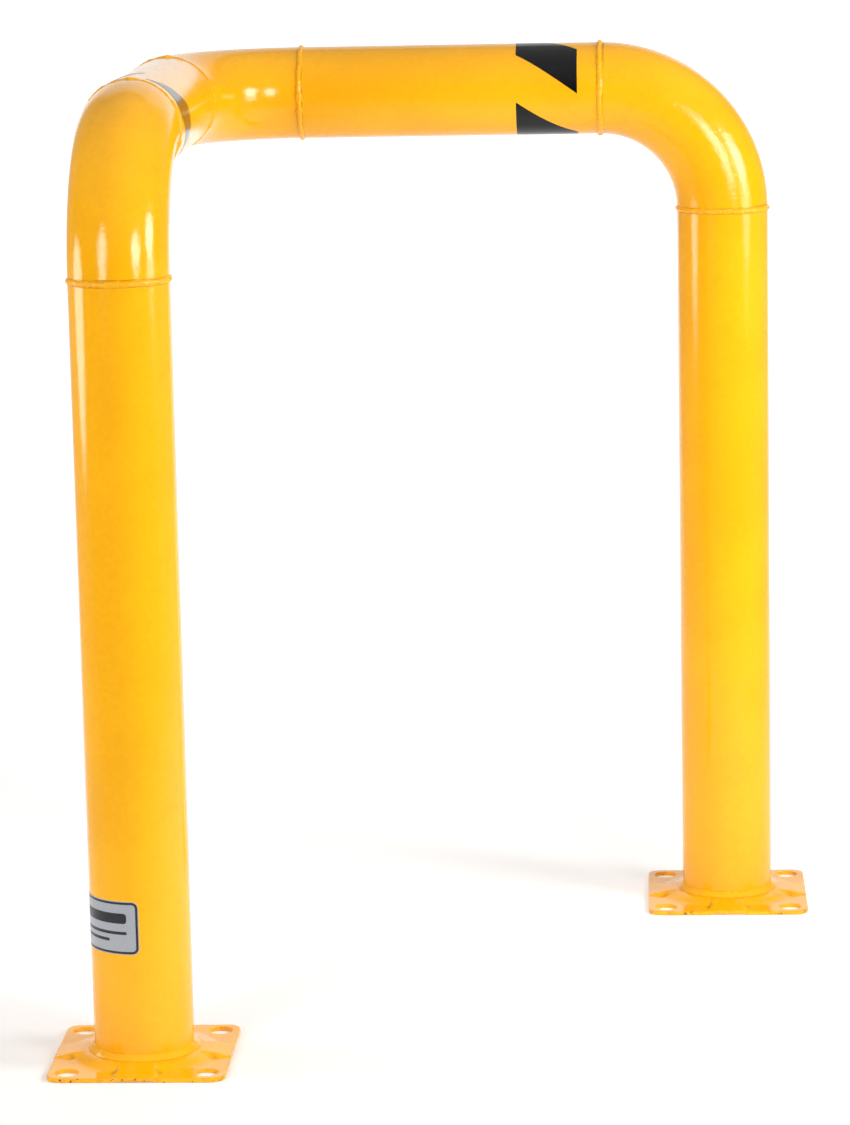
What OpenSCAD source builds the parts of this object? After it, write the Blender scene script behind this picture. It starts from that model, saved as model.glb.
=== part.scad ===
// Corner guard rail: two bolted-down pipe posts joined by an L-shaped top rail.
// The side rail leaves the left post along +Y, turns the corner and becomes the
// cross rail along +X, which ends in the right post.
// Origin: on the floor, midway between the two post axes. +Z is up.

/* [Layout] */
// Distance between the post axes along the cross rail
span_x = 680; // [620:10:1200]
// Distance between the post axes along the side rail
span_y = 680; // [620:10:1200]
// Height of the rail axis above the floor
rail_h = 1048; // [600:1:1400]
// Centre-line radius of the pipe bends
bend_r = 152.4; // [120:0.1:228.6]

/* [Pipe] */
// Outside diameter of the pipe
pipe_od = 114.3; // [101.6:0.1:118]
// Wall thickness of the pipe
pipe_wall = 6; // [5:0.5:9]

/* [Butt welds] */
// Gap between two pipe ends before welding
root_gap = 2; // [1:0.5:3]
// Square nose left at the bore of a bevelled pipe end
root_land = 1.5; // [1:0.5:2]
// Slope of a bevelled pipe end, in degrees
bevel_angle = 35; // [30:1:40]
// Width by which the weld cap laps over each pipe end
cap_lap = 1.3; // [1:0.1:2]
// Height of the weld cap above the pipe
cap_h = 2.8; // [1.5:0.1:3.2]
// Depth by which the weld cap melts into the pipe
cap_melt = 0.3; // [0.2:0.1:0.6]
// Leg of the fillet weld between a post and its base plate
fillet_leg = 8; // [5:0.5:8]

/* [Base plates] */
// Side of the square base plate
plate_w = 203.2; // [203.2:0.1:260]
// Thickness of the pressed plate
plate_t = 5; // [4:0.5:8]
// Radius of the plate's corners
plate_corner_r = 16; // [6:1:20]
// Distance between two neighbouring bolt holes
hole_pitch = 158.75; // [154:0.25:166]
// Diameter of a bolt hole
hole_d = 27; // [14:0.5:28]
// Radius of the flat top of the raised hub
hub_top_r = 68; // [67:1:74]
// Radius of the foot of the raised hub
hub_foot_r = 84.5; // [80:0.5:90]
// Height of the hub above the flat plate
hub_rise = 7.5; // [4:0.5:12]
// Width of a stiffening rib along its top
rib_top_w = 40; // [30:1:46]
// Width of a stiffening rib at the flat plate
rib_foot_w = 50; // [48:1:60]
// Height of a rib where it runs out at the plate's edge
rib_tail = 0.8; // [0.4:0.1:2]
// Sideways step between the upper and lower faces of the pressing
press_inset = 2; // [1:0.5:3]

/* [Hazard bands] */
// Width of a band of stripes along its rail
band_w = 76.2; // [50:0.1:76.2]
// Bare pipe between a band and the nearest weld
band_gap = 28; // [15:1:40]
// Thickness of the vinyl film
film_t = 0.2; // [0.15:0.05:0.5]
// Arc covered by one black stripe, in degrees
stripe_arc = 64; // [40:1:70]
// Arc from one stripe to the next, in degrees
stripe_pitch = 128; // [110:1:140]
// Arc by which a stripe winds round the rail over the band, in degrees
stripe_twist = 54; // [20:1:56]
// Where the film's two ends meet, in degrees above the inner side of the rail
seam_angle = 200; // [185:1:215]
// Gap between the film's two ends, in degrees
seam_gap = 1.5; // [0.5:0.5:3]
// Start of the first stripe on the side rail, in degrees
side_phase = 10; // [0:1:60]
// Start of the first stripe on the cross rail, in degrees
cross_phase = 51.5; // [0:0.5:60]

/* [Post label] */
// Height of the label
label_h = 62; // [40:1:90]
// Arc covered by the label, in degrees
label_arc = 100; // [60:1:120]
// Radius of the label's corners
label_corner_r = 8; // [4:1:15]
// Height of the label's centre above the floor
label_z = 167; // [120:1:300]
// Thickness of the label
label_t = 0.3; // [0.15:0.05:0.5]

/* [Hidden] */
$fn = 96;

paint = [0.98, 0.70, 0.12];
vinyl = [0.07, 0.08, 0.09];
foil = [0.72, 0.74, 0.76];

pipe_r = pipe_od / 2;
bore_r = pipe_r - pipe_wall;
hub_h = plate_t + hub_rise;
post_top = rail_h - bend_r;

// Places of the posts, of the rails' ends and of the outer corner
left_x = -span_x / 2;
right_x = span_x / 2;
front_y = -span_y / 2;
back_y = span_y / 2;
side_rail_start = front_y + bend_r;
side_rail_len = span_y - 2 * bend_r;
cross_rail_start = left_x + bend_r;
cross_rail_len = span_x - 2 * bend_r;

// Half width of the weld groove at a given radius, and of the weld cap
function groove_half(r) = root_gap / 2 + (r - bore_r - root_land) * tan(bevel_angle);
cap_half = groove_half(pipe_r) + cap_lap;
cap_foot_r = pipe_r - cap_melt;
cut_clearance = 2;

// The weld cap's outline is an arc through its two edges and its crown
crown_r = (cap_half * cap_half + cap_h * cap_h) / (2 * cap_h);
crown_angle = asin(cap_half / crown_r);
crown_steps = 8;
corner_steps = 6;

// The stripes' facets stand just clear of the round pipe. A stripe is cut off
// where the film's end leaves it narrower than a small angle.
along_steps = 9;
round_steps = 10;
facet_angle = max(stripe_arc / round_steps, stripe_twist / along_steps);
film_r = pipe_r / cos(facet_angle / 2);
film_start = seam_angle + seam_gap - 360;
narrowest = 2;

// Points of an arc about a centre, from one angle to another
function arc(centre, r, from, to, steps) =
    [for (i = [0:steps]) let (a = from + (to - from) * i / steps)
        centre + r * [cos(a), sin(a)]];

// Outline of a rectangle with round corners, centred on the origin
function round_rect(w, h, r) = concat(
    arc([w / 2 - r, h / 2 - r], r, 0, 90, corner_steps),
    arc([r - w / 2, h / 2 - r], r, 90, 180, corner_steps),
    arc([r - w / 2, r - h / 2], r, 180, 270, corner_steps),
    arc([w / 2 - r, r - h / 2], r, 270, 360, corner_steps));

// ---- places where two pieces meet, with +Z along the pipe ----

module at_left_post() { translate([left_x, front_y, 0]) children(); }
module at_right_post() { translate([right_x, back_y, 0]) children(); }
module at_left_post_top() { translate([left_x, front_y, post_top]) children(); }
module at_right_post_top() { translate([right_x, back_y, post_top]) children(); }

module along_side_rail(distance) {
    translate([left_x, side_rail_start + distance, rail_h]) rotate([-90, 0, 0]) children();
}

module along_cross_rail(distance) {
    translate([cross_rail_start + distance, back_y, rail_h]) rotate([0, 90, 0]) children();
}

// ---- pipes ----

module tube(length) {
    difference() {
        cylinder(h = length, r = pipe_r);
        translate([0, 0, -1]) cylinder(h = length + 2, r = bore_r);
    }
}

// Quarter bend from the +X axis to the +Y axis
module bend() {
    rotate_extrude(angle = 90)
        translate([bend_r, 0])
            difference() {
                circle(r = pipe_r);
                circle(r = bore_r);
            }
}

module post() {
    translate([0, 0, hub_h]) tube(post_top - hub_h);
}

// ---- welds ----

// What is removed from a pipe end: the bevel, and the seat of the weld cap
module weld_cut() {
    side = [[bore_r - cut_clearance, root_gap / 2],
            [bore_r + root_land, root_gap / 2],
            [cap_foot_r, groove_half(cap_foot_r)],
            [cap_foot_r, cap_half],
            [pipe_r + cap_h + cut_clearance, cap_half]];
    rotate_extrude() polygon(concat(side, mirror_up(side)));
}

// The weld metal: it fills the groove and stands proud in a rounded cap
module butt_weld() {
    side = [[bore_r, root_gap / 2],
            [bore_r + root_land, root_gap / 2],
            [cap_foot_r, groove_half(cap_foot_r)],
            [cap_foot_r, cap_half]];
    crown = arc([pipe_r + cap_h - crown_r, 0], crown_r, crown_angle, -crown_angle, crown_steps);
    color(paint) rotate_extrude() polygon(concat(side, crown, mirror_up(side)));
}

// Fillet weld round the foot of a post, with a slightly bulging face
module fillet_weld() {
    bulge = 0.6 * fillet_leg;
    color(paint)
        translate([0, 0, hub_h])
            rotate_extrude()
                translate([pipe_r, 0])
                    polygon([[0, 0], [fillet_leg, 0], [bulge, bulge], [0, fillet_leg]]);
}

// The same points on the other side of the X axis, in reverse order
function mirror_up(points) =
    [for (i = [len(points) - 1:-1:0]) [points[i].x, -points[i].y]];

// ---- base plates ----

// The raised hub and its four ribs, standing on z = 0 with a skirt below it
module raised_form(inset, skirt, reach) {
    top_r = hub_top_r - inset;
    foot_r = hub_foot_r - inset;
    rotate_extrude()
        polygon([[0, -skirt], [foot_r, -skirt], [foot_r, 0], [top_r, hub_rise], [0, hub_rise]]);
    for (turn = [0, 90]) rotate([0, 0, turn]) rib_pair(top_r, inset, skirt, reach);
}

// Two ribs in one line: a tapering side view crossed with a drafted end view
module rib_pair(top_r, inset, skirt, reach) {
    foot_half = rib_foot_w / 2 - inset;
    top_half = rib_top_w / 2 - inset;
    intersection() {
        rotate([90, 0, 0])
            linear_extrude(2 * foot_half + 2, center = true)
                polygon([[-reach, -skirt], [reach, -skirt], [reach, rib_tail],
                         [top_r, hub_rise], [-top_r, hub_rise], [-reach, rib_tail]]);
        rotate([90, 0, 90])
            linear_extrude(2 * reach + 2, center = true)
                polygon([[-foot_half, -skirt - 1], [foot_half, -skirt - 1], [foot_half, 0],
                         [top_half, hub_rise], [-top_half, hub_rise], [-foot_half, 0]]);
    }
}

// Pressed plate: flat corner pads, raised hub and ribs, hollow underneath
module base_plate() {
    color(paint)
        difference() {
            union() {
                linear_extrude(plate_t) polygon(round_rect(plate_w, plate_w, plate_corner_r));
                translate([0, 0, plate_t]) raised_form(0, 1, plate_w / 2);
            }
            raised_form(press_inset, 1, plate_w / 2 + 1);
            for (x = [-1, 1], y = [-1, 1])
                translate([x * hole_pitch / 2, y * hole_pitch / 2, -1])
                    cylinder(h = plate_t + 2, d = hole_d);
        }
}

// ---- stripes stuck on the rails ----
// In this section the rail lies along X and the angle is 0 at -Y and 90 at +Z.

// A point of a stripe: s runs along the rail, u round it, and r is the radius
function stripe_point(start, s, u, r) =
    let (low = max(start - s * stripe_twist, film_start),
         high = min(start + stripe_arc - s * stripe_twist, seam_angle),
         angle = low + (high - low) * u)
    [s * band_w, -r * cos(angle), r * sin(angle)];

// Grid of points from s = from to s = to, over the stripe's whole arc
function stripe_grid(start, from, to, r) =
    [for (i = [0:along_steps], j = [0:round_steps])
        stripe_point(start, from + (to - from) * i / along_steps, j / round_steps, r)];

// One stripe: a thin shell that winds down to the right, cut off where the film ends
module stripe(start) {
    from = max(0, (start - seam_angle + narrowest) / stripe_twist);
    to = min(1, (start + stripe_arc - film_start - narrowest) / stripe_twist);
    points = concat(stripe_grid(start, from, to, film_r), stripe_grid(start, from, to, film_r + film_t));
    row = round_steps + 1;
    shell = (along_steps + 1) * row;
    cells = [for (i = [0:along_steps - 1], j = [0:round_steps - 1]) i * row + j];
    // The rim runs once round the grid: along the rail, round it, and back
    rim = concat([for (i = [0:along_steps - 1]) i * row],
                 [for (j = [0:round_steps - 1]) along_steps * row + j],
                 [for (i = [along_steps:-1:1]) i * row + round_steps],
                 [for (j = [round_steps:-1:1]) j]);
    polyhedron(points, concat(
        [for (c = cells, half = [[0, row, row + 1], [0, row + 1, 1]]) [for (v = half) c + v]],
        [for (c = cells, half = [[0, row + 1, row], [0, 1, row + 1]]) [for (v = half) c + v + shell]],
        [for (k = [0:len(rim) - 1]) let (a = rim[k], b = rim[(k + 1) % len(rim)])
            for (side = [[b, a, a + shell], [b, a + shell, b + shell]]) side]));
}

// All the black stripes of one band
module stripe_band(phase) {
    color(vinyl)
        for (k = [-3:3]) {
            start = phase + k * stripe_pitch;
            reaches_film = start + stripe_arc > film_start + 2 * narrowest;
            leaves_film = start - stripe_twist > seam_angle - 2 * narrowest;
            if (reaches_film && !leaves_film) stripe(start);
        }
}

// Label on a vertical pipe, centred on the direction of -X -Y
module label_film() {
    seen_w = 2 * pipe_r * sin(label_arc / 2);
    color(foil)
        intersection() {
            difference() {
                cylinder(h = label_h + 2, r = pipe_r + label_t, center = true);
                cylinder(h = label_h + 4, r = pipe_r, center = true);
            }
            rotate([90, 0, -45])
                linear_extrude(pipe_r + 10)
                    polygon(round_rect(seen_w, label_h, label_corner_r));
        }
}

// ---- the pieces ----

module left_base_plate() { at_left_post() base_plate(); }
module right_base_plate() { at_right_post() base_plate(); }

module left_post() {
    color(paint)
        difference() {
            at_left_post() post();
            at_left_post_top() weld_cut();
        }
}

module right_post() {
    color(paint)
        difference() {
            at_right_post() post();
            at_right_post_top() weld_cut();
        }
}

module left_elbow() {
    color(paint)
        difference() {
            translate([left_x, side_rail_start, post_top]) rotate([90, 0, -90]) bend();
            at_left_post_top() weld_cut();
            along_side_rail(0) weld_cut();
        }
}

module side_rail() {
    color(paint)
        difference() {
            along_side_rail(0) tube(side_rail_len);
            along_side_rail(0) weld_cut();
            along_side_rail(side_rail_len) weld_cut();
        }
}

module corner_elbow() {
    color(paint)
        difference() {
            translate([cross_rail_start, back_y - bend_r, rail_h]) rotate([0, 0, 90]) bend();
            along_side_rail(side_rail_len) weld_cut();
            along_cross_rail(0) weld_cut();
        }
}

module cross_rail() {
    color(paint)
        difference() {
            along_cross_rail(0) tube(cross_rail_len);
            along_cross_rail(0) weld_cut();
            along_cross_rail(cross_rail_len) weld_cut();
        }
}

module right_elbow() {
    color(paint)
        difference() {
            translate([right_x - bend_r, back_y, post_top]) rotate([90, 0, 0]) bend();
            along_cross_rail(cross_rail_len) weld_cut();
            at_right_post_top() weld_cut();
        }
}

module left_base_weld() { at_left_post() fillet_weld(); }
module right_base_weld() { at_right_post() fillet_weld(); }
module left_post_weld() { at_left_post_top() butt_weld(); }
module left_elbow_weld() { along_side_rail(0) butt_weld(); }
module side_rail_weld() { along_side_rail(side_rail_len) butt_weld(); }
module corner_elbow_weld() { along_cross_rail(0) butt_weld(); }
module cross_rail_weld() { along_cross_rail(cross_rail_len) butt_weld(); }
module right_post_weld() { at_right_post_top() butt_weld(); }

module side_rail_stripes() {
    translate([left_x, side_rail_start + band_gap, rail_h])
        rotate([0, 0, 90]) stripe_band(side_phase);
}

module cross_rail_stripes() {
    translate([cross_rail_start + cross_rail_len - band_gap - band_w, back_y, rail_h])
        stripe_band(cross_phase);
}

module post_label() {
    translate([left_x, front_y, label_z]) label_film();
}

left_base_plate();
right_base_plate();
left_post();
right_post();
left_elbow();
side_rail();
corner_elbow();
cross_rail();
right_elbow();
left_base_weld();
right_base_weld();
left_post_weld();
left_elbow_weld();
side_rail_weld();
corner_elbow_weld();
cross_rail_weld();
right_post_weld();
side_rail_stripes();
cross_rail_stripes();
post_label();
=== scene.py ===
import math

import bpy
import numpy as np
from mathutils import Matrix, Vector


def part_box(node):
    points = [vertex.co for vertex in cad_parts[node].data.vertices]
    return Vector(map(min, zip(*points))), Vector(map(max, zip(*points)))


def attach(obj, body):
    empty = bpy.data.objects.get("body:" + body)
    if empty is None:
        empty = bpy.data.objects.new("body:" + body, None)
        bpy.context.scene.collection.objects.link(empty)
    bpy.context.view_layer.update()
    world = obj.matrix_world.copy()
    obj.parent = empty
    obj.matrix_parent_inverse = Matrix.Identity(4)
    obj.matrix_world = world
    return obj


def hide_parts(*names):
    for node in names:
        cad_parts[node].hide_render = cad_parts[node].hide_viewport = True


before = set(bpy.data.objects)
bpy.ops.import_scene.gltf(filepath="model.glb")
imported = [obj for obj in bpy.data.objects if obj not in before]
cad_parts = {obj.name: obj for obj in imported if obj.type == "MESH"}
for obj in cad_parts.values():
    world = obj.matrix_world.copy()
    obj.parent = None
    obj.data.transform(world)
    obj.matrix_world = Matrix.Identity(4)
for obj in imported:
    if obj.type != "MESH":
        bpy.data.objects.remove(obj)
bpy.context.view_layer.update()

# ---- sizes, in metres; places come from the frame ----

WALL = 0.006              # pipe wall
ROOT_HALF = 0.001         # half of the gap between two pipe ends
ROOT_LAND = 0.0015        # square nose of a bevelled pipe end
GROOVE_HALF = 0.00415     # half width of the weld groove at the pipe's outside
END_BREAK = 0.0008        # bevel on a pipe end that has no groove
ROUND = 128               # steps round a pipe
STATION = 0.012           # spacing of the rings along a pipe

BEAD_HALF = 0.0049        # half width of a butt weld's cap
RIDGE_SHARE = 0.70        # the part of that width that the raised ridge takes
BEAD_H = 0.0017           # usual height of the cap
LOW_BEAD_H = 0.0010       # its height on the side rail
BEAD_RIPPLE = 0.0009      # depth of the deepest ripples
BEAD_TOP = 0.0027         # the cap is never higher than this
BEAD_SINK = 0.0003        # depth of the cap's edges in the pipe
BEAD_ROUND = 900          # steps round a weld
BEAD_ACROSS = 27          # points across a butt weld's cap
FILLET_ACROSS = 21        # and across a fillet weld's face
RIPPLE = 0.0046           # length of one ripple of a weld
EDGE_WAVER = 0.0003       # how much a weld's edges waver
TOP_WAVER = 0.00018       # how much a cap's height varies
SWAY = 0.0002             # how far a bead wanders sideways
CLOSING_STEP = 0.00045    # half of the sideways step where a bead's two ends meet
LUMP_REACH = 0.0042       # how far along the bead a thickening reaches
LUMP_EXTRA = 0.0008       # how much wider it makes a cap, or higher a fillet
LUMP_TOE = 0.0007         # and how much further out a fillet's toe
TOE_SLACK = 0.0008        # how far a fillet's usual toe stays inside its greatest size
HEAD_SLACK = 0.0012       # and its upper edge
FILLET_BULGE = 0.0004     # how far a fillet's face bulges, and once more as much at a thickening
FILLET_RIPPLE = 0.2       # a fillet's ripples are this part as deep as a cap's
FIRST_SEED, SEED_STEP = 100, 10  # the butt welds' random seeds
LEFT_FOOT_SEED, RIGHT_FOOT_SEED = 201, 211

PLATE_T = 0.005           # thickness of a base plate
PLATE_CORNER = 0.016      # radius of its corners
PLATE_ROLL = 0.0009       # rounding of its sheared edges
PLATE_LIFT = 0.0005       # the most that its edges stand off the floor
LIFT_FROM = 0.085         # distance from the post's axis where they start to rise
LIFT_OVER = 0.05          # and over how much further they do
HOLE_PITCH = 0.15875      # between bolt holes
HOLE_R = 0.0135           # radius of a bolt hole
HUB_TOP_R = 0.068         # edge of the raised hub's flat top
HUB_FOOT_R = 0.0845       # foot of its slope
RIB_TOP_HALF = 0.020      # half width of a rib's top
RIB_FOOT_HALF = 0.025     # and of its foot
RIB_TAIL = 0.0008         # height of a rib at the plate's edge
PRESS_INSET = 0.002       # sideways step from the upper to the lower face
CREST_SOFT = 0.0036       # how softly the pressed faces run into each other at a crest
VALLEY_SOFT = 0.0028      # and in a valley
PINCH = 0.0011            # depth of the dents where a rib's foot meets the hub's foot
PINCH_REACH = 0.0042      # and their size
WEAR_REACH = 0.004        # how far the wear goes in from a sheared edge
GRID_POINTS = 37          # points along a side of the grid in the middle of a quarter of the plate
HOLE_POINTS = 29          # and of the square round its bolt hole
RING_POINTS = 13          # from the hole out to that square

FILM_LIFT = 0.00022       # thickness of the stripes' film
FILM_SINK = 0.00005       # depth of a film's back in the paint
STRIPE_ARC = 64.0         # degrees round the pipe that a stripe takes
STRIPE_PITCH = 128.0      # from one stripe to the next
STRIPE_TWIST = 54.0       # that a stripe winds from one edge of the film to the other
FILM_SEAM = 200.0         # where the film's ends meet
FILM_GAP = 1.5            # between those ends
STRIPE_POINT = 2.0        # the narrowest that the seam leaves of a stripe
STRIPE_POINTS = 33, 41    # points along a stripe and across it
SIDE_PHASE = 10.0         # where a stripe of the side rail starts, from the rail's inner side
CROSS_PHASE = 51.5        # and one of the cross rail

LABEL_ARC = 100.0         # degrees round the post that the label takes
LABEL_CORNER = 0.008      # radius of its corners
LABEL_LIFT = 0.00028      # its thickness with the ink
INK_LIFT = 0.00003        # thickness of the ink
LABEL_BORDER = 0.0026     # width of the printed border
LABEL_MARGIN = 0.001      # left free outside it
BAR_SHARE = 0.72          # the part of the label's width that the longest bars take
LABEL_BARS = (            # height above the label's middle, own height, and part of the width
    (0.011, 0.012, BAR_SHARE),
    (-0.006, 0.0035, BAR_SHARE),
    (-0.0145, 0.0035, 0.50),
)

# ---- light ----

FLOOR_GLOW = 0.10         # light given off by the floor under the object
FAR_GLOW = 0.02           # and by the floor and the backdrop everywhere else
GLOW_ENDS = 0.9, 2.0      # distances from the origin between which the one becomes the other
BACKDROP_GLOW = 0.60      # what the lit wedge behind the object gives on top of that
WEDGE_STARTS = -0.4, 2.4  # Y at which its glow begins, and at which it is complete
WEDGE_SIDES = 0.6, 1.5    # where its soft sides begin and end at Y = 0
WEDGE_OPENS = 0.35        # how much further out they are for each metre back
WEDGE_TOP = 8.6, 9.1      # where its sharp upper edge begins and ends
PALE_UP_TO = -0.62        # towards the viewer the floor is pale as far as this Y
DARK_FROM = -1.15         # and painted dark from here on as shade, where only its reflection is seen
SKY_LOW = 0.11            # light from the horizon all round
SKY_HIGH = 0.64           # and from straight above
GRID_HALF = math.radians(50)    # how far to the side a softbox lights
AIM = Vector((0, 0, 0.6))       # the point that the softboxes face
SOFTBOXES = (                   # name, place, width, height, and brightness seen square on
    ("far_left", (-1.74, -0.20, 0.78), 0.76, 0.62, 8.8),
    ("front_left", (-1.60, -2.63, 1.44), 0.90, 1.42, 11.8),
    ("front_right", (1.62, -2.09, 1.40), 0.95, 1.00, 16.5),
    ("far_right", (1.93, -0.57, 1.37), 0.85, 0.74, 20.0),
    ("far_right_low", (1.93, -0.57, 0.85), 0.85, 0.46, 8.0),
)

# ---- the camera, found by matching the object's outline ----

CAMERA_AT = (0.24422, -4.83559, 1.42793)  # metres
CAMERA_YAW = -3.195       # degrees to the right of +Y
CAMERA_PITCH = 10.755     # degrees below the horizon
CAMERA_ROLL = 1.178       # degrees clockwise
CAMERA_LENS = 131.24      # millimetres
SENSOR = 36               # millimetres


def make_camera():
    """The photo's viewpoint."""
    yaw, pitch, roll = (math.radians(a) for a in (CAMERA_YAW, CAMERA_PITCH, CAMERA_ROLL))
    ahead = Vector((math.sin(yaw) * math.cos(pitch), math.cos(yaw) * math.cos(pitch), -math.sin(pitch)))
    level = Vector((math.cos(yaw), -math.sin(yaw), 0))
    down = ahead.cross(level)
    right = level * math.cos(roll) + down * math.sin(roll)
    up = level * math.sin(roll) - down * math.cos(roll)
    data = bpy.data.cameras.new("camera")
    data.sensor_width = SENSOR
    data.lens = CAMERA_LENS
    data.clip_end = 100
    camera = bpy.data.objects.new("camera", data)
    turn = Matrix((right, up, -ahead)).transposed().to_4x4()
    camera.matrix_world = Matrix.Translation(CAMERA_AT) @ turn
    bpy.context.scene.collection.objects.link(camera)
    bpy.context.scene.camera = camera


# ---- where the pieces are, from the frame ----

def centre(node):
    """The middle of a node's box."""
    low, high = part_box(node)
    return (low + high) / 2


PIPE_R = (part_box("left_post")[1].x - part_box("left_post")[0].x) / 2
BORE_R = PIPE_R - WALL
PLATE_HALF = (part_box("left_base_plate")[1].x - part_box("left_base_plate")[0].x) / 2
FLAT_HALF = PLATE_HALF - PLATE_ROLL       # the plate's faces end where its rounded edges start
FLAT_CORNER = PLATE_CORNER - PLATE_ROLL
FLAT_HOLE_R = HOLE_R + PLATE_ROLL
HUB_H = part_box("left_base_plate")[1].z
HUB_RISE = HUB_H - PLATE_T
FILLET_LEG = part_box("left_base_weld")[1].z - HUB_H
RIGHT, BACK, UP = Vector((1, 0, 0)), Vector((0, 1, 0)), Vector((0, 0, 1))

LEFT_FOOT = Vector((centre("left_post").x, centre("left_post").y, HUB_H))
RIGHT_FOOT = Vector((centre("right_post").x, centre("right_post").y, HUB_H))

# each weld: its centre, and the direction in which the pipe runs on through it
WELDS = {
    "left_post_weld": (centre("left_post_weld"), UP),
    "left_elbow_weld": (centre("left_elbow_weld"), BACK),
    "side_rail_weld": (centre("side_rail_weld"), BACK),
    "corner_elbow_weld": (centre("corner_elbow_weld"), RIGHT),
    "cross_rail_weld": (centre("cross_rail_weld"), RIGHT),
    "right_post_weld": (centre("right_post_weld"), -UP),
}


def across(axis):
    """Two directions square to an axis and to each other."""
    side = UP if abs(axis.z) < 0.5 else RIGHT
    first = (side - axis * side.dot(axis)).normalized()
    return first, axis.cross(first)


def straight(start, axis, first=None, second=None):
    """A pipe's course: gives the points at a distance along it, a radius and an angle round it.

    The angle is 0 in the first direction and a quarter turn in the second.
    """
    if first is None:
        first, second = across(axis)
    start, axis, first, second = (np.array(v) for v in (start, axis, first, second))

    def place(s, r, angle):
        s, r, angle = np.broadcast_arrays(s, r, angle)
        ring = np.cos(angle)[..., None] * first + np.sin(angle)[..., None] * second
        return start + s[..., None] * axis + r[..., None] * ring

    return place


def bend(weld_a, weld_b):
    """The course of a quarter bend between two welds, and its length."""
    a, ahead = WELDS[weld_a]
    b, leaving = WELDS[weld_b]
    radius = (b - a).dot(ahead)
    hub = np.array(a + leaving * radius)
    ahead, leaving = np.array(ahead), np.array(leaving)
    binormal = np.cross(ahead, leaving)

    def place(s, r, angle):
        s, r, angle = np.broadcast_arrays(s, r, angle)
        turn = (s / radius)[..., None]
        outward = ahead * np.sin(turn) - leaving * np.cos(turn)
        ring = np.cos(angle)[..., None] * outward + np.sin(angle)[..., None] * binormal
        return hub + radius * outward + r[..., None] * ring

    return place, radius * math.pi / 2


# ---- mesh helpers ----

def grid_faces(rows, cols, close_rows=False, close_cols=False):
    """Quads between the points of a grid, which are numbered row by row."""
    i = np.arange(rows if close_rows else rows - 1)[:, None]
    j = np.arange(cols if close_cols else cols - 1)[None, :]
    i2, j2 = (i + 1) % rows, (j + 1) % cols
    corners = [i * cols + j, i2 * cols + j, i2 * cols + j2, i * cols + j2]
    return np.stack(np.broadcast_arrays(*corners), -1).reshape(-1, 4)


def merged(blocks):
    """Joins blocks of (points, faces) into one mesh whose coincident points are shared."""
    points, faces, count = [], [], 0
    for block_points, block_faces in blocks:
        points.append(block_points)
        faces.append(block_faces + count)
        count += len(block_points)
    points, faces = np.concatenate(points), np.concatenate(faces)
    _, first, where = np.unique(np.round(points, 7), axis=0, return_index=True, return_inverse=True)
    return points[first], where.reshape(-1)[faces]


def faces_outward(points, faces):
    """Turns all faces round if together they enclose a negative volume."""
    a, b, c, d = (points[faces[:, k]] for k in range(4))
    volume = np.einsum("ij,ij->", a, np.cross(b, c)) + np.einsum("ij,ij->", a, np.cross(c, d))
    return faces if volume > 0 else faces[:, ::-1]


def smooth_mesh(name, points, faces, material):
    """A smooth-shaded mesh object in the scene."""
    mesh = bpy.data.meshes.new(name)
    mesh.from_pydata(points.tolist(), [], faces.tolist())
    mesh.polygons.foreach_set("use_smooth", [True] * len(mesh.polygons))
    mesh.materials.append(material)
    thing = bpy.data.objects.new(name, mesh)
    bpy.context.scene.collection.objects.link(thing)
    return thing


def make_piece(name, points, faces, material, nodes, crease):
    """A piece of the object, creased where its faces meet at more than an angle in degrees."""
    piece = smooth_mesh(name, points, faces_outward(points, faces), material)
    piece.data.set_sharp_from_angle(angle=math.radians(crease))
    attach(piece, "root")
    if nodes:
        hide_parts(*nodes)
    return piece


def set_marks(piece, name, values):
    """Stores for the paint how worn, coarse or deep in a crevice each point is, from 0 to 1; the crevice
    value darkens the paint as painted shade.
    """
    marks = piece.data.attributes.new(name, "FLOAT", "POINT")
    marks.data.foreach_set("value", np.asarray(values, np.float32).ravel())


def wave(seed, size, low, high):
    """A smooth random curve of about the given size, with low up to high waves in a full turn."""
    rng = np.random.default_rng(seed)
    turns = np.arange(low, high)
    share = rng.normal(size=len(turns)) / np.sqrt(turns)
    phase = rng.uniform(0, 2 * math.pi, len(turns))
    share *= size / np.sqrt((share ** 2).sum() / 2)
    return lambda angle: sum(a * np.cos(n * angle + p) for a, n, p in zip(share, turns, phase))


# ---- materials ----

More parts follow.
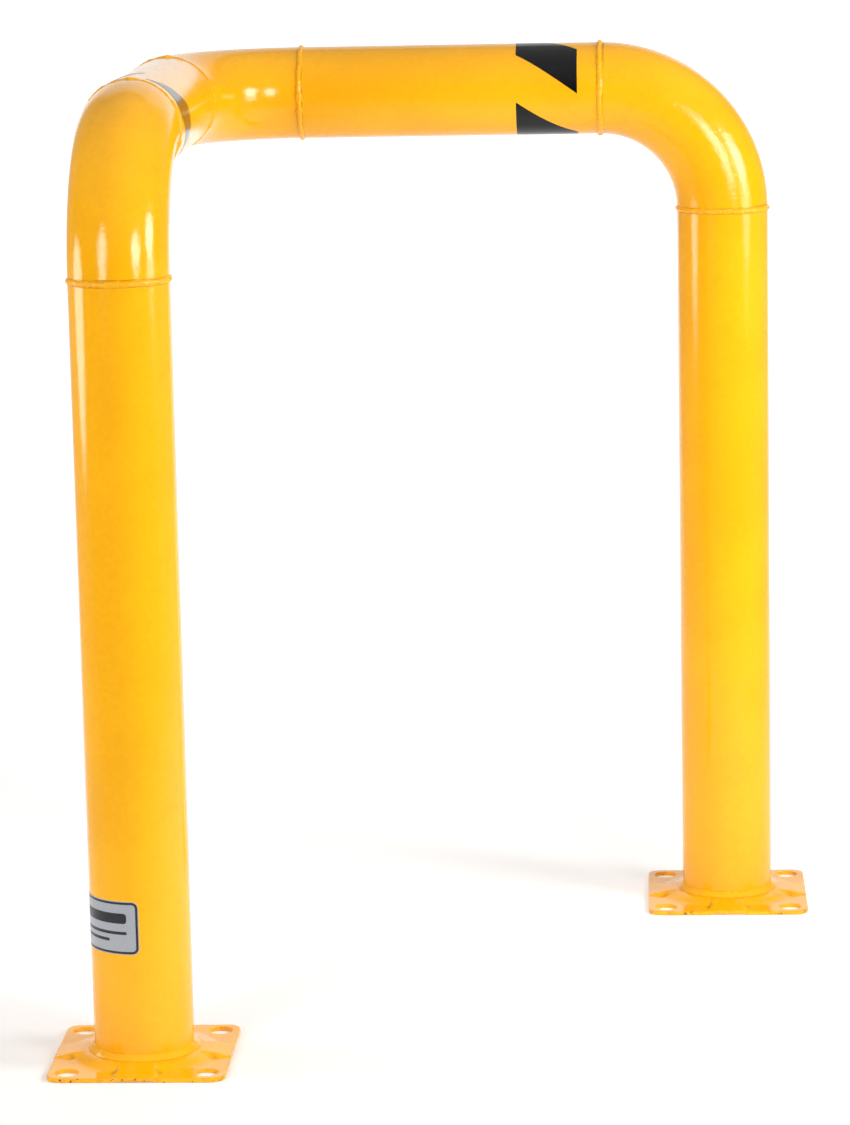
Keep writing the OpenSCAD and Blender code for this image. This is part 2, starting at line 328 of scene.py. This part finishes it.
class Nodes:
    """Adds shader nodes to a material and joins them up."""

    def __init__(self, name):
        self.material = bpy.data.materials.new(name)
        self.material.use_nodes = True
        self.tree = self.material.node_tree
        self.shader = self.tree.nodes["Principled BSDF"]
        self.place = self.add("ShaderNodeTexCoord").outputs["Object"]

    def add(self, kind, inputs=None, **settings):
        node = self.tree.nodes.new(kind)
        for key, value in settings.items():
            setattr(node, key, value)
        for key, value in (inputs or {}).items():
            self.join(value, node.inputs[key])
        return node

    def join(self, value, socket):
        if isinstance(value, bpy.types.NodeSocket):
            self.tree.links.new(value, socket)
        else:
            socket.default_value = value

    def noise(self, scale, detail=2.0, rough=0.5):
        inputs = {"Vector": self.place, "Scale": scale, "Detail": detail, "Roughness": rough}
        return self.add("ShaderNodeTexNoise", inputs).outputs["Fac"]

    def spread(self, value, low, high, to_low=0.0, to_high=1.0):
        """Stretches the part of a value between low and high over another range."""
        inputs = {"Value": value, "From Min": low, "From Max": high, "To Min": to_low, "To Max": to_high}
        return self.add("ShaderNodeMapRange", inputs).outputs["Result"]

    def math(self, operation, a, b=0.0):
        return self.add("ShaderNodeMath", {0: a, 1: b}, operation=operation).outputs[0]

    def mix(self, share, a, b):
        """A blend of two colours."""
        node = self.add("ShaderNodeMix", data_type="RGBA")
        # the node has sockets for other kinds of value too: these are its factor and its two colours
        for value, socket in ((share, 0), (a, 6), (b, 7)):
            self.join(value, node.inputs[socket])
        return node.outputs[2]

    def attribute(self, name):
        return self.add("ShaderNodeAttribute", attribute_name=name).outputs["Fac"]

    def bump(self, height, depth, normal=None):
        inputs = {"Height": height, "Distance": depth, "Strength": 1.0}
        if normal is not None:
            inputs["Normal"] = normal
        return self.add("ShaderNodeBump", inputs).outputs["Normal"]

    def finish(self, **sockets):
        """Sets the surface's own values, named with _ for each space, and gives the material."""
        for name, value in sockets.items():
            self.join(value, self.shader.inputs[name.replace("_", " ")])
        return self.material


def yellow_paint():
    """Gloss enamel: orange peel, coarser over rough steel, slow waves, chips on worn edges, and painted shade
    in crevices.
    """
    n = Nodes("yellow_paint")
    deep, bright = (0.93, 0.42, 0.002, 1), (0.99, 0.462, 0.003, 1)
    # the middle one of these is the brown of the painted shade in crevices
    thin, shade_tone, steel = (0.72, 0.27, 0.012, 1), (0.46, 0.17, 0.006, 1), (0.045, 0.035, 0.03, 1)
    # two yellows, in large clouds and fine flecks
    cloud = n.noise(9.0, 3.0)
    fleck = n.math("MULTIPLY", n.math("SUBTRACT", n.noise(160.0, 3.0, 0.6), 0.5), 2.4)
    tone = n.math("ADD", n.spread(cloud, 0.35, 0.65), fleck)
    colour = n.mix(tone, deep, bright)
    # on worn edges the paint is thin, and chipped down to the steel; in crevices it is darkened to brown as
    # painted shade
    wear = n.attribute("wear")
    chip = n.math("MULTIPLY", wear, n.spread(n.noise(200.0, 4.0, 0.6), 0.62, 0.66))
    chip = n.math("MINIMUM", chip, 1.0)
    rim = n.math("MULTIPLY", wear, n.spread(n.noise(120.0, 3.0), 0.45, 0.65, 0.0, 0.55))
    colour = n.mix(rim, colour, thin)
    # painted shade: the crevice marks darken the paint to brown, streaked by noise, along the welds' crevices
    # and in the plates' pinch dents
    crevice_shade = n.math("MULTIPLY", n.attribute("crevice"), n.spread(n.noise(170.0, 3.0), 0.35, 0.6, 0.25, 0.8))
    colour = n.mix(crevice_shade, colour, shade_tone)
    colour = n.mix(chip, colour, steel)
    # the surface: smears, orange peel, slow waves, and chips that lie deeper
    smear = n.spread(n.noise(34.0, 5.0, 0.65), 0.3, 0.7, 0.09, 0.17)
    roughness = n.math("ADD", smear, n.math("MULTIPLY", chip, 0.35))
    grain = n.spread(n.attribute("coarse"), 0.0, 1.0, 0.42, 1.0)
    peel = n.bump(n.math("MULTIPLY", n.noise(330.0, 1.0), grain), 0.00031)
    slow = n.bump(n.noise(42.0, 2.0), 0.00014, peel)
    pitted = n.bump(n.math("SUBTRACT", 1.0, chip), 0.00015, slow)
    return n.finish(Base_Color=colour, Roughness=roughness, Normal=pitted, IOR=1.44)


def black_vinyl():
    """Gloss black film with fine scuffs and a faint texture from the paint beneath."""
    n = Nodes("black_vinyl")
    dust = n.spread(n.noise(75.0, 6.0, 0.7), 0.50, 0.75, 0.0, 0.35)
    colour = n.mix(dust, (0.004, 0.004, 0.005, 1), (0.018, 0.019, 0.020, 1))
    roughness = n.spread(n.noise(60.0, 5.0, 0.7), 0.3, 0.7, 0.08, 0.18)
    soft = n.bump(n.noise(48.0, 2.0), 0.00008)
    fine = n.bump(n.noise(420.0, 2.0), 0.000012, soft)
    return n.finish(Base_Color=colour, Roughness=roughness, Normal=fine, IOR=1.38)


def label_face():
    """Silver-grey printed film."""
    n = Nodes("label_face")
    grain = n.spread(n.noise(900.0, 2.0), 0.3, 0.7)
    colour = n.mix(grain, (0.38, 0.40, 0.44, 1), (0.46, 0.48, 0.52, 1))
    roughness = n.spread(n.noise(90.0, 4.0), 0.3, 0.7, 0.28, 0.40)
    waves = n.bump(n.noise(60.0), 0.00005)
    return n.finish(Base_Color=colour, Roughness=roughness, Normal=waves, Metallic=0.35)


def label_ink():
    """Black ink on the label."""
    n = Nodes("label_ink")
    speck = n.spread(n.noise(700.0, 3.0), 0.35, 0.75)
    colour = n.mix(speck, (0.010, 0.011, 0.016, 1), (0.022, 0.023, 0.030, 1))
    roughness = n.spread(n.noise(110.0, 4.0), 0.3, 0.7, 0.25, 0.38)
    waves = n.bump(n.noise(60.0), 0.00004)
    return n.finish(Base_Color=colour, Roughness=roughness, Normal=waves)


# ---- pipes ----

def pipe_profile(length, start_welded):
    """Closed outline of a pipe's wall as distances along it and radii, to its far end and back."""
    welded_end = [(ROOT_HALF, BORE_R), (ROOT_HALF, BORE_R + ROOT_LAND), (GROOVE_HALF, PIPE_R)]
    plain_end = [(0.0, BORE_R), (0.0, PIPE_R - END_BREAK), (END_BREAK, PIPE_R)]
    first = welded_end if start_welded else plain_end
    last = [(length - s, r) for s, r in reversed(welded_end)]
    steps = max(2, round(length / STATION))
    stations = np.linspace(first[-1][0], last[0][0], steps + 1)
    outside = [(s, PIPE_R) for s in stations[1:-1]]
    inside = [(s, BORE_R) for s in stations[-2:0:-2]]
    return np.array(first + outside + last + inside)


def make_pipe(node, course, length, start_welded=True, coarse=0.0):
    """A straight or bent pipe with the grooves of its welds."""
    profile = pipe_profile(length, start_welded)
    angle = np.linspace(0, 2 * math.pi, ROUND, endpoint=False)[:, None]
    points = course(profile[None, :, 0], profile[None, :, 1], angle).reshape(-1, 3)
    faces = grid_faces(ROUND, len(profile), True, True)
    piece = make_piece(node + "_painted", points, faces, PAINT, [node], crease=30)
    set_marks(piece, "coarse", np.full(len(points), coarse))


def make_pipes():
    """Both posts, both rails and the three elbows."""
    post_length = WELDS["left_post_weld"][0].z - HUB_H
    make_pipe("left_post", straight(LEFT_FOOT, UP), post_length, start_welded=False)
    make_pipe("right_post", straight(RIGHT_FOOT, UP), post_length, start_welded=False)
    for rail, start, end in (("side_rail", "left_elbow_weld", "side_rail_weld"),
                             ("cross_rail", "corner_elbow_weld", "cross_rail_weld")):
        place, axis = WELDS[start]
        make_pipe(rail, straight(place, axis), (WELDS[end][0] - place).length)
    # the elbows are hot-formed, so their steel is rougher under the paint, the right one's most of all
    make_pipe("left_elbow", *bend("left_post_weld", "left_elbow_weld"), coarse=0.15)
    make_pipe("corner_elbow", *bend("side_rail_weld", "corner_elbow_weld"), coarse=0.15)
    make_pipe("right_elbow", *bend("cross_rail_weld", "right_post_weld"), coarse=1.0)


# ---- welds ----

def around(angle, at):
    """Angles measured from another one, between half a turn back and half a turn on."""
    return (angle - at + math.pi) % (2 * math.pi) - math.pi


def ripples(angle, t, seed):
    """Overlapping crescents left by the weld pool, from 0 to 1, some of them deeper than others."""
    count = round(2 * math.pi * PIPE_R / RIPPLE)
    drift = wave(seed + 1, 0.4, 3, 40)(angle)
    depth = np.clip(0.65 + wave(seed + 6, 0.3, 9, 60)(angle), 0.15, 1)
    # each ripple bows forward in the middle, and rises faster than it falls
    part = (angle * count / (2 * math.pi) + drift + 0.55 * t ** 2) % 1.0
    return depth * (1 - np.abs(2 * part ** 0.75 - 1) ** 2.5) * (1 - t ** 2)


def lumps(angle, places):
    """Thickenings where the welder stopped and started again, from 0 to 1."""
    humps = sum(np.exp(-(around(angle, at) * PIPE_R / LUMP_REACH) ** 2) * size for at, size in places)
    return np.minimum(humps, 1.0)


def stops(seed, count):
    """Random places, and sizes, of such thickenings."""
    rng = np.random.default_rng(seed + 2)
    return list(zip(rng.uniform(-math.pi, math.pi, count), rng.uniform(0.4, 0.8, count)))


def make_butt_weld(node, seed, height, top_lump):
    """The bead between two pipe ends: a cap laid by hand, and the filled groove below it."""
    place, axis = WELDS[node]
    course = straight(place, axis)
    angle = np.linspace(0, 2 * math.pi, BEAD_ROUND, endpoint=False)[:, None]
    t = np.sin(np.linspace(-math.pi / 2, math.pi / 2, BEAD_ACROSS))[None, :]
    places = stops(seed, 3)
    start = places[0][0]
    if top_lump:
        places.append((0.0, 1.0))
    stop = lumps(angle, places)
    half = BEAD_HALF + wave(seed + 3, EDGE_WAVER, 4, 60)(angle) + LUMP_EXTRA * stop
    rise = height + wave(seed + 4, TOP_WAVER, 3, 40)(angle) + (BEAD_TOP - height) * stop
    # the bead wanders sideways, and where it closes the two ends don't quite meet
    sway = CLOSING_STEP * around(angle, start) / math.pi + wave(seed + 5, SWAY, 3, 12)(angle)
    # the ridge is narrower than the groove it fills, so a fine crevice runs along either side of it
    ridge = RIDGE_SHARE + wave(seed + 7, 0.05, 5, 70)(angle) + 0.15 * stop
    across_ridge = np.clip(t / ridge, -1, 1)
    dome = (rise + BEAD_SINK) * (1 - across_ridge ** 2) ** 0.7
    dome = dome + BEAD_RIPPLE * ripples(angle, across_ridge, seed)
    cap = course(t * half + sway, PIPE_R - BEAD_SINK + np.minimum(dome, BEAD_TOP + BEAD_SINK), angle)
    groove = [(GROOVE_HALF, PIPE_R - 2 * BEAD_SINK), (ROOT_HALF, BORE_R + ROOT_LAND), (ROOT_HALF, BORE_R)]
    groove += [(-s, r) for s, r in reversed(groove)]
    root_s, root_r = np.array(groove).T
    ring = np.concatenate([cap, course(root_s[None, :], root_r[None, :], angle)], 1)
    faces = grid_faces(BEAD_ROUND, ring.shape[1], True, True)
    piece = make_piece(node + "_bead", ring.reshape(-1, 3), faces, PAINT, [node], crease=70)
    # painted shade: a thin band along either crevice beside the ridge, which the paint darkens to brown
    deep = np.exp(-((np.abs(t) - ridge - 0.06) / 0.12) ** 2)
    set_marks(piece, "crevice", np.concatenate([deep, np.zeros((BEAD_ROUND, len(groove)))], 1))


def make_fillet_weld(node, foot, seed):
    """The bead between a post and its base plate."""
    course = straight(foot, UP)
    angle = np.linspace(0, 2 * math.pi, BEAD_ROUND, endpoint=False)[:, None]
    t = np.linspace(-1, 1, FILLET_ACROSS)[None, :]
    stop = lumps(angle, stops(seed, 2))
    low_leg = FILLET_LEG - TOE_SLACK + wave(seed + 3, EDGE_WAVER, 4, 40)(angle) + LUMP_TOE * stop
    high_leg = FILLET_LEG - HEAD_SLACK + wave(seed + 4, EDGE_WAVER, 4, 40)(angle) + LUMP_EXTRA * stop
    bulge = (FILLET_BULGE + FILLET_BULGE * stop) * (1 - t ** 2)
    bulge = bulge + FILLET_RIPPLE * BEAD_RIPPLE * ripples(angle, t, seed)
    share = (t + 1) / 2
    out = low_leg * (1 - share) + bulge * 0.7 - BEAD_SINK * share
    rise = np.clip(high_leg * share + bulge * 0.7, 0, FILLET_LEG)
    face = course(rise, PIPE_R + out, angle)
    heel = course(np.array([[FILLET_LEG * 0.6, 0.0]]), np.array([[PIPE_R - BEAD_SINK] * 2]), angle)
    ring = np.concatenate([face, heel], 1)
    faces = grid_faces(BEAD_ROUND, ring.shape[1], True, True)
    piece = make_piece(node + "_bead", ring.reshape(-1, 3), faces, PAINT, [node], crease=70)
    # painted shade along both toes, full where the fillet meets the post and weaker on the plate
    deep = np.broadcast_to(np.clip((t - 0.8) / 0.2, 0, 1) + 0.6 * np.clip((-t - 0.8) / 0.2, 0, 1), rise.shape)
    set_marks(piece, "crevice", np.concatenate([deep, np.zeros((BEAD_ROUND, 2))], 1))


def make_welds():
    """All the beads; those of the side rail are lower and have a lump on top."""
    for k, node in enumerate(WELDS):
        side_rail = node in ("left_elbow_weld", "side_rail_weld")
        height = LOW_BEAD_H if side_rail else BEAD_H
        make_butt_weld(node, FIRST_SEED + SEED_STEP * k, height, side_rail)
    make_fillet_weld("left_base_weld", LEFT_FOOT, LEFT_FOOT_SEED)
    make_fillet_weld("right_base_weld", RIGHT_FOOT, RIGHT_FOOT_SEED)


# ---- base plates ----

def crest(a, b, soft=CREST_SOFT):
    """The lower of two heights, rounded where they cross."""
    h = np.clip(0.5 + 0.5 * (b - a) / soft, 0, 1)
    return b * (1 - h) + a * h - soft * h * (1 - h)


def valley(a, b):
    """The higher of two heights, rounded where they cross."""
    return -crest(-a, -b, VALLEY_SOFT)


def pinch(x, y):
    """Small dents in the eight corners between the hub and the ribs."""
    far = math.sqrt(HUB_FOOT_R ** 2 - RIB_FOOT_HALF ** 2)
    dents = [np.hypot(np.abs(x) - a, np.abs(y) - b) for a, b in ((RIB_FOOT_HALF, far), (far, RIB_FOOT_HALF))]
    return PINCH * sum(np.exp(-(d / PINCH_REACH) ** 2) for d in dents)


def raised_form(x, y, inset):
    """Height of the pressed hub and its four ribs above the flat plate."""
    hub_slope = HUB_RISE / (HUB_FOOT_R - HUB_TOP_R)
    rib_slope = HUB_RISE / (RIB_FOOT_HALF - RIB_TOP_HALF)
    form = hub_slope * (HUB_FOOT_R - inset - np.hypot(x, y))
    for along, beside in ((x, y), (y, x)):
        share = np.clip((np.abs(along) - HUB_TOP_R) / (PLATE_HALF - HUB_TOP_R), 0, 1.1)
        top = HUB_RISE + (RIB_TAIL - HUB_RISE) * share
        side = rib_slope * (RIB_FOOT_HALF - inset - np.abs(beside))
        form = valley(form, crest(top, side))
    return crest(valley(form, 0.0), HUB_RISE)


def plate_quadrant():
    """Flat grids that fill a quarter of the plate: three square ones, and one that rings the bolt hole."""
    hole = HOLE_PITCH / 2
    inner = 2 * hole - FLAT_HALF
    near, far = np.linspace(0, inner, GRID_POINTS), np.linspace(inner, FLAT_HALF, HOLE_POINTS)
    corners = ((near, near), (far, near), (near, far))
    grids = [np.stack(np.meshgrid(a, b, indexing="ij"), -1) for a, b in corners]
    steps = len(far) - 1
    arc_at = FLAT_HALF - FLAT_CORNER
    arc = [(arc_at + FLAT_CORNER * math.cos(a), arc_at + FLAT_CORNER * math.sin(a))
           for a in np.linspace(0, math.pi / 2, 40)]
    # the outline round the corner, in as many steps as two sides of a grid have
    outer = np.array([(FLAT_HALF, inner)] + arc + [(inner, FLAT_HALF)])
    run = np.concatenate([[0], np.cumsum(np.hypot(*np.diff(outer, axis=0).T))])
    at = np.linspace(0, run[-1], 2 * steps + 1)
    outer = np.stack([np.interp(at, run, outer[:, 0]), np.interp(at, run, outer[:, 1])], -1)
    left = np.stack([np.full(steps, inner), far[::-1][1:]], -1)
    bottom = np.stack([far[1:-1], np.full(steps - 1, inner)], -1)
    loop = np.concatenate([outer, left, bottom])
    way = loop - hole
    ring = hole + way / np.hypot(*way.T)[:, None] * FLAT_HOLE_R
    share = np.linspace(0, 1, RING_POINTS)[None, :, None] ** 1.3
    return grids, ring[:, None] + (loop - ring)[:, None] * share, steps


def rim_grid(line, outward, top, bottom):
    """The rounded edge between the plate's faces, along a line of points."""
    turn = np.linspace(0, math.pi / 2, 5)
    step = np.concatenate([np.sin(turn), np.sin(turn)[::-1]]) * PLATE_ROLL
    drop = np.concatenate([1 - np.cos(turn), np.cos(turn)[::-1] - 1]) * PLATE_ROLL
    level = np.where(np.arange(len(step)) < len(turn), top[:, None], bottom[:, None]) - drop
    flat = line[:, None] + outward[:, None] * step[None, :, None]
    return np.concatenate([flat, level[..., None]], -1)


def outline_normal(line):
    """Directions square to the plate's outline, at points on it."""
    way = np.maximum(np.abs(line) - (FLAT_HALF - FLAT_CORNER), 0) * np.sign(line)
    return way / np.hypot(*way.T)[:, None]


def plate_lift(x, y):
    """The plate isn't quite flat: its edges stand off the floor, in slow waves across it."""
    ease = np.clip((np.hypot(x, y) - LIFT_FROM) / LIFT_OVER, 0, 1)
    return PLATE_LIFT * ease ** 2 * (0.55 + 0.45 * np.sin(41 * x + 1.3) * np.cos(33 * y + 0.4))


def plate_levels(flat):
    """Heights of the plate's upper and lower face."""
    x, y = flat[..., 0], flat[..., 1]
    lift = plate_lift(x, y)
    return PLATE_T + raised_form(x, y, 0) + lift - pinch(x, y), raised_form(x, y, PRESS_INSET) + lift


def face_blocks(grids, ring, sign, turned):
    """The upper and the lower face of a quarter of the plate."""
    parts = [(grid, grid_faces(*grid.shape[:2])) for grid in grids]
    parts.append((ring, grid_faces(*ring.shape[:2], True)))
    blocks = []
    for k, (flat, faces) in enumerate(parts):
        flat = flat * sign
        top, bottom = plate_levels(flat)
        if turned == (k == len(grids)):
            faces = faces[:, ::-1]
        blocks.append((np.dstack([flat, top]).reshape(-1, 3), faces[:, ::-1]))
        blocks.append((np.dstack([flat, bottom]).reshape(-1, 3), faces))
    return blocks


def edge_blocks(grids, ring, steps, sign, turned):
    """Rounded edges of a quarter: round the bolt hole, round the corner, and along the two sides."""
    hole_line = ring[:, 0] * sign
    lines = [(hole_line, (HOLE_PITCH / 2 * sign - hole_line) / FLAT_HOLE_R, True, False)]
    sides = ((ring[: 2 * steps + 1, -1], True), (grids[1][-1, :], True), (grids[2][:, -1], False))
    lines += [(line * sign, outline_normal(line * sign), False, flip) for line, flip in sides]
    blocks = []
    for line, outward, closed, flip in lines:
        edge = rim_grid(line, outward, *plate_levels(line))
        faces = grid_faces(*edge.shape[:2], closed)
        blocks.append((edge.reshape(-1, 3), faces[:, ::-1] if flip != turned else faces))
    return blocks


def plate_wear(points):
    """Most wear on the sheared edges, fading over a few millimetres."""
    flat = points[:, :2]
    over = np.abs(flat) - (FLAT_HALF - FLAT_CORNER)
    outside = np.hypot(*np.maximum(over, 0).T) + np.minimum(over.max(1), 0) - FLAT_CORNER
    # the holes' edges wear less deeply
    to_hole = HOLE_R - np.hypot(*(np.abs(flat) - HOLE_PITCH / 2).T)
    edge = np.maximum(outside, to_hole * 1.5 - 0.001)
    return np.clip(1 + edge / WEAR_REACH, 0, 1) ** 2


def make_base_plate(node):
    """A square plate, pressed up into a hub and four ribs, with four bolt holes."""
    mid = centre(node)
    grids, ring, steps = plate_quadrant()
    blocks = []
    for sx in (1, -1):
        for sy in (1, -1):
            sign, turned = np.array([sx, sy]), sx * sy < 0
            blocks += face_blocks(grids, ring, sign, turned)
            blocks += edge_blocks(grids, ring, steps, sign, turned)
    points, faces = merged(blocks)
    wear = plate_wear(points)
    points = points + np.array([mid.x, mid.y, 0])
    piece = make_piece(node + "_painted", points, faces, PAINT, [node], crease=60)
    set_marks(piece, "wear", wear)
    # painted shade in the pinch dents between the ribs and the hub, where the paint is darkened to brown
    set_marks(piece, "crevice", 0.8 * pinch(points[:, 0] - mid.x, points[:, 1] - mid.y) / PINCH)


# ---- films ----

def film_shell(stations, course, inner_r, outer_r, closed=False):
    """A thin closed shell wrapped on a pipe, from a grid of distances along it and angles round it."""
    rows, cols = stations.shape[:2]
    along, angle = stations[..., 0], stations[..., 1]
    shells = [course(along, np.full((rows, cols), r), angle) for r in (outer_r, inner_r)]
    faces = grid_faces(rows, cols, closed)
    blocks = [(shells[0].reshape(-1, 3), faces), (shells[1].reshape(-1, 3), faces[:, ::-1])]
    edges = [(np.s_[:, 0], True), (np.s_[:, -1], False)]
    if not closed:
        edges += [(np.s_[0, :], False), (np.s_[-1, :], True)]
    for place, flip in edges:
        wall = np.stack([shells[0][place], shells[1][place]], 1)
        wall_faces = grid_faces(*wall.shape[:2], closed)
        blocks.append((wall.reshape(-1, 3), wall_faces[:, ::-1] if flip else wall_faces))
    return merged(blocks)


def stripe_stations(start, width):
    """Grid over one stripe: it winds down as it goes along, and stops where the film's ends meet."""
    film_start = FILM_SEAM + FILM_GAP - 360
    first = max(0.0, (start - FILM_SEAM + STRIPE_POINT) / STRIPE_TWIST)
    last = min(1.0, (start + STRIPE_ARC - film_start - STRIPE_POINT) / STRIPE_TWIST)
    if last <= first:
        return None
    s = np.linspace(first, last, STRIPE_POINTS[0])[:, None]
    low = np.maximum(start - s * STRIPE_TWIST, film_start)
    high = np.minimum(start + STRIPE_ARC - s * STRIPE_TWIST, FILM_SEAM)
    angle = low + (high - low) * np.linspace(0, 1, STRIPE_POINTS[1])[None, :]
    return np.stack([np.broadcast_to(s * width, angle.shape), np.radians(angle)], -1)


def make_stripes(node, axis, inner_side, phase):
    """A rail's stripes; their angles are 0 on the guard's inner side and 90 degrees on top."""
    low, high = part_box(node)
    start, width = (low + high) / 2, (high - low).dot(axis)
    along = 0 if axis.x else 1
    start[along] = low[along]
    course = straight(start, axis, inner_side, UP)
    blocks = []
    for k in range(-3, 4):  # more than go round the rail; those that lie past the seam are left out
        stations = stripe_stations(phase + k * STRIPE_PITCH, width)
        if stations is not None:
            blocks.append(film_shell(stations, course, PIPE_R - FILM_SINK, PIPE_R + FILM_LIFT))
    points, faces = merged(blocks)
    make_piece(node + "_film", points, faces, VINYL, [node], crease=40)


def rounded_stations(width, height, corner, steps=12):
    """Grid over a rectangle with round corners, as (up, angle) on the post."""
    turn = np.linspace(0, math.pi / 2, steps)
    ends = corner * (1 - np.cos(turn))
    x = np.concatenate([ends, np.linspace(corner, width - corner, 30)[1:-1], width - ends[::-1]]) - width / 2
    inset = np.maximum(np.abs(x) - (width / 2 - corner), 0)
    half = height / 2 - corner + np.sqrt(np.maximum(corner ** 2 - inset ** 2, 0))
    v = np.linspace(-1, 1, 25)[None, :] * half[:, None]
    return np.stack([v, np.broadcast_to(x[:, None] / PIPE_R, v.shape)], -1)


def border_stations(width, height, corner, thick):
    """Ring of points along the edge of such a rectangle."""
    turn = np.linspace(0, math.pi / 2, 10)
    loops = []
    for inset in (thick, 0.0):
        r = corner - inset
        w, h = width / 2 - inset, height / 2 - inset
        x, y = [], []
        for quarter, (sx, sy) in enumerate(((1, 1), (-1, 1), (-1, -1), (1, -1))):
            a = turn + quarter * math.pi / 2
            x.append(sx * (w - r) + r * np.cos(a))
            y.append(sy * (h - r) + r * np.sin(a))
            if sx * sy > 0:
                side = np.linspace(sx * (w - r), -sx * (w - r), 26)[1:-1]
                x.append(side)
                y.append(np.full(len(side), sy * h))
        loops.append(np.stack([np.concatenate(y), np.concatenate(x) / PIPE_R], -1))
    return np.stack(loops, 1)


def make_label():
    """A plain label: a grey face, and on it a dark border with three blank bars."""
    low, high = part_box("post_label")
    width, height = PIPE_R * math.radians(LABEL_ARC), high.z - low.z
    outward = Vector((-1, -1, 0)).normalized()
    course = straight((LEFT_FOOT.x, LEFT_FOOT.y, (low.z + high.z) / 2), UP, outward, UP.cross(outward))
    face_r, ink_r = PIPE_R + LABEL_LIFT - INK_LIFT, PIPE_R + LABEL_LIFT
    stations = rounded_stations(width, height, LABEL_CORNER)
    points, faces = film_shell(stations, course, PIPE_R - FILM_SINK, face_r)
    make_piece("post_label_face", points, faces, LABEL_FACE, ["post_label"], crease=40)
    inset, corner = 2 * LABEL_MARGIN, LABEL_CORNER - LABEL_MARGIN
    border = border_stations(width - inset, height - inset, corner, LABEL_BORDER)
    blocks = [film_shell(border, course, face_r, ink_r, closed=True)]
    for bar_at, bar_h, share in LABEL_BARS:
        bar = rounded_stations(width * share, bar_h, bar_h * 0.3, steps=4)
        bar = bar + np.array([bar_at, -width * (BAR_SHARE - share) / 2 / PIPE_R])
        blocks.append(film_shell(bar, course, face_r, ink_r))
    points, faces = merged(blocks)
    make_piece("post_label_ink", points, faces, LABEL_INK, [], crease=40)


# ---- the studio ----

def studio_white():
    """Pale floor, painted darker in front of the view as shade, with a glowing wedge of backdrop behind the
    object.
    """
    n = Nodes("studio_white")
    parts = n.add("ShaderNodeSeparateXYZ", {0: n.place}).outputs
    grain = n.spread(n.noise(2.0, 4.0), 0.3, 0.7)
    pale = n.mix(grain, (0.86, 0.86, 0.86, 1), (0.88, 0.88, 0.88, 1))
    # painted shade: the floor turns grey towards the viewer, which dims its reflection low on the posts
    darker = n.spread(parts["Y"], DARK_FROM, PALE_UP_TO, 1.0, 0.0)
    colour = n.mix(darker, pale, (0.46, 0.46, 0.46, 1))
    away = n.add("ShaderNodeVectorMath", {0: n.place}, operation="LENGTH").outputs["Value"]
    near = n.spread(away, *GLOW_ENDS, FLOOR_GLOW, FAR_GLOW)
    opening = n.math("MULTIPLY", parts["Y"], WEDGE_OPENS)
    beside = n.math("SUBTRACT", n.math("ABSOLUTE", parts["X"]), opening)
    below_edge = n.spread(parts["Z"], *WEDGE_TOP, 1.0, 0.1)
    wedge = n.math("MULTIPLY", n.spread(beside, *WEDGE_SIDES, 1.0, 0.0), below_edge)
    behind = n.spread(parts["Y"], *WEDGE_STARTS, 0.0, BACKDROP_GLOW)
    glow = n.math("ADD", near, n.math("MULTIPLY", behind, wedge))
    return n.finish(Base_Color=colour, Roughness=0.9, Emission_Color=(1, 1, 1, 1), Emission_Strength=glow)


def make_floor():
    """A wide floor that curves up into a backdrop far behind the object."""
    front, bend_at, sweep, side, top = -25.0, 8.0, 1.5, 18.0, 11.0
    turn = np.linspace(0, math.pi / 2, 33)
    y = np.concatenate([[front, 0.0], bend_at + sweep * np.sin(turn), [bend_at + sweep]])
    z = np.concatenate([[0.0, 0.0], sweep * (1 - np.cos(turn)), [top]])
    x = np.array([-side, side])[:, None]
    points = np.stack(np.broadcast_arrays(x, y, z), -1).reshape(-1, 3)
    smooth_mesh("studio_floor", points, grid_faces(2, len(y)), studio_white())


def softbox(name, at, width, height, radiance):
    """An oval soft light with a grid, whose brightness is that of its surface seen square on."""
    light = bpy.data.lights.new(name, "AREA")
    light.shape = "ELLIPSE"
    light.size, light.size_y = width, height
    light.spread = 2 * GRID_HALF
    # the grid gathers the light, so this much less energy gives the same brightness square on
    gain = math.tan(GRID_HALF) / (math.tan(GRID_HALF) - GRID_HALF)
    area = width * height * math.pi / 4
    light.energy = radiance / gain * math.pi * area
    lamp = bpy.data.objects.new(name, light)
    lamp.location = at
    lamp.rotation_mode = "QUATERNION"
    lamp.rotation_quaternion = (AIM - Vector(at)).to_track_quat("-Z", "Y")
    bpy.context.scene.collection.objects.link(lamp)


def make_sky():
    """Faint light from all round: a little from the horizon, and more the higher it comes from."""
    world = bpy.data.worlds.new("studio")
    world.use_nodes = True
    tree = world.node_tree
    parts = tree.nodes.new("ShaderNodeSeparateXYZ")
    grade = tree.nodes.new("ShaderNodeMapRange")
    grade.inputs["To Min"].default_value = SKY_LOW
    grade.inputs["To Max"].default_value = SKY_HIGH
    tree.links.new(tree.nodes.new("ShaderNodeTexCoord").outputs["Generated"], parts.inputs[0])
    tree.links.new(parts.outputs["Z"], grade.inputs["Value"])
    background = tree.nodes["Background"]
    background.inputs["Color"].default_value = (1, 1, 1, 1)
    tree.links.new(grade.outputs["Result"], background.inputs["Strength"])
    bpy.context.scene.world = world


PAINT = yellow_paint()
VINYL = black_vinyl()
LABEL_FACE = label_face()
LABEL_INK = label_ink()

make_camera()
make_pipes()
make_welds()
make_base_plate("left_base_plate")
make_base_plate("right_base_plate")
make_stripes("side_rail_stripes", BACK, RIGHT, SIDE_PHASE)
make_stripes("cross_rail_stripes", RIGHT, -BACK, CROSS_PHASE)
make_label()
make_floor()
make_sky()
for box in SOFTBOXES:
    softbox(*box)
bpy.context.scene.view_settings.view_transform = "Standard"
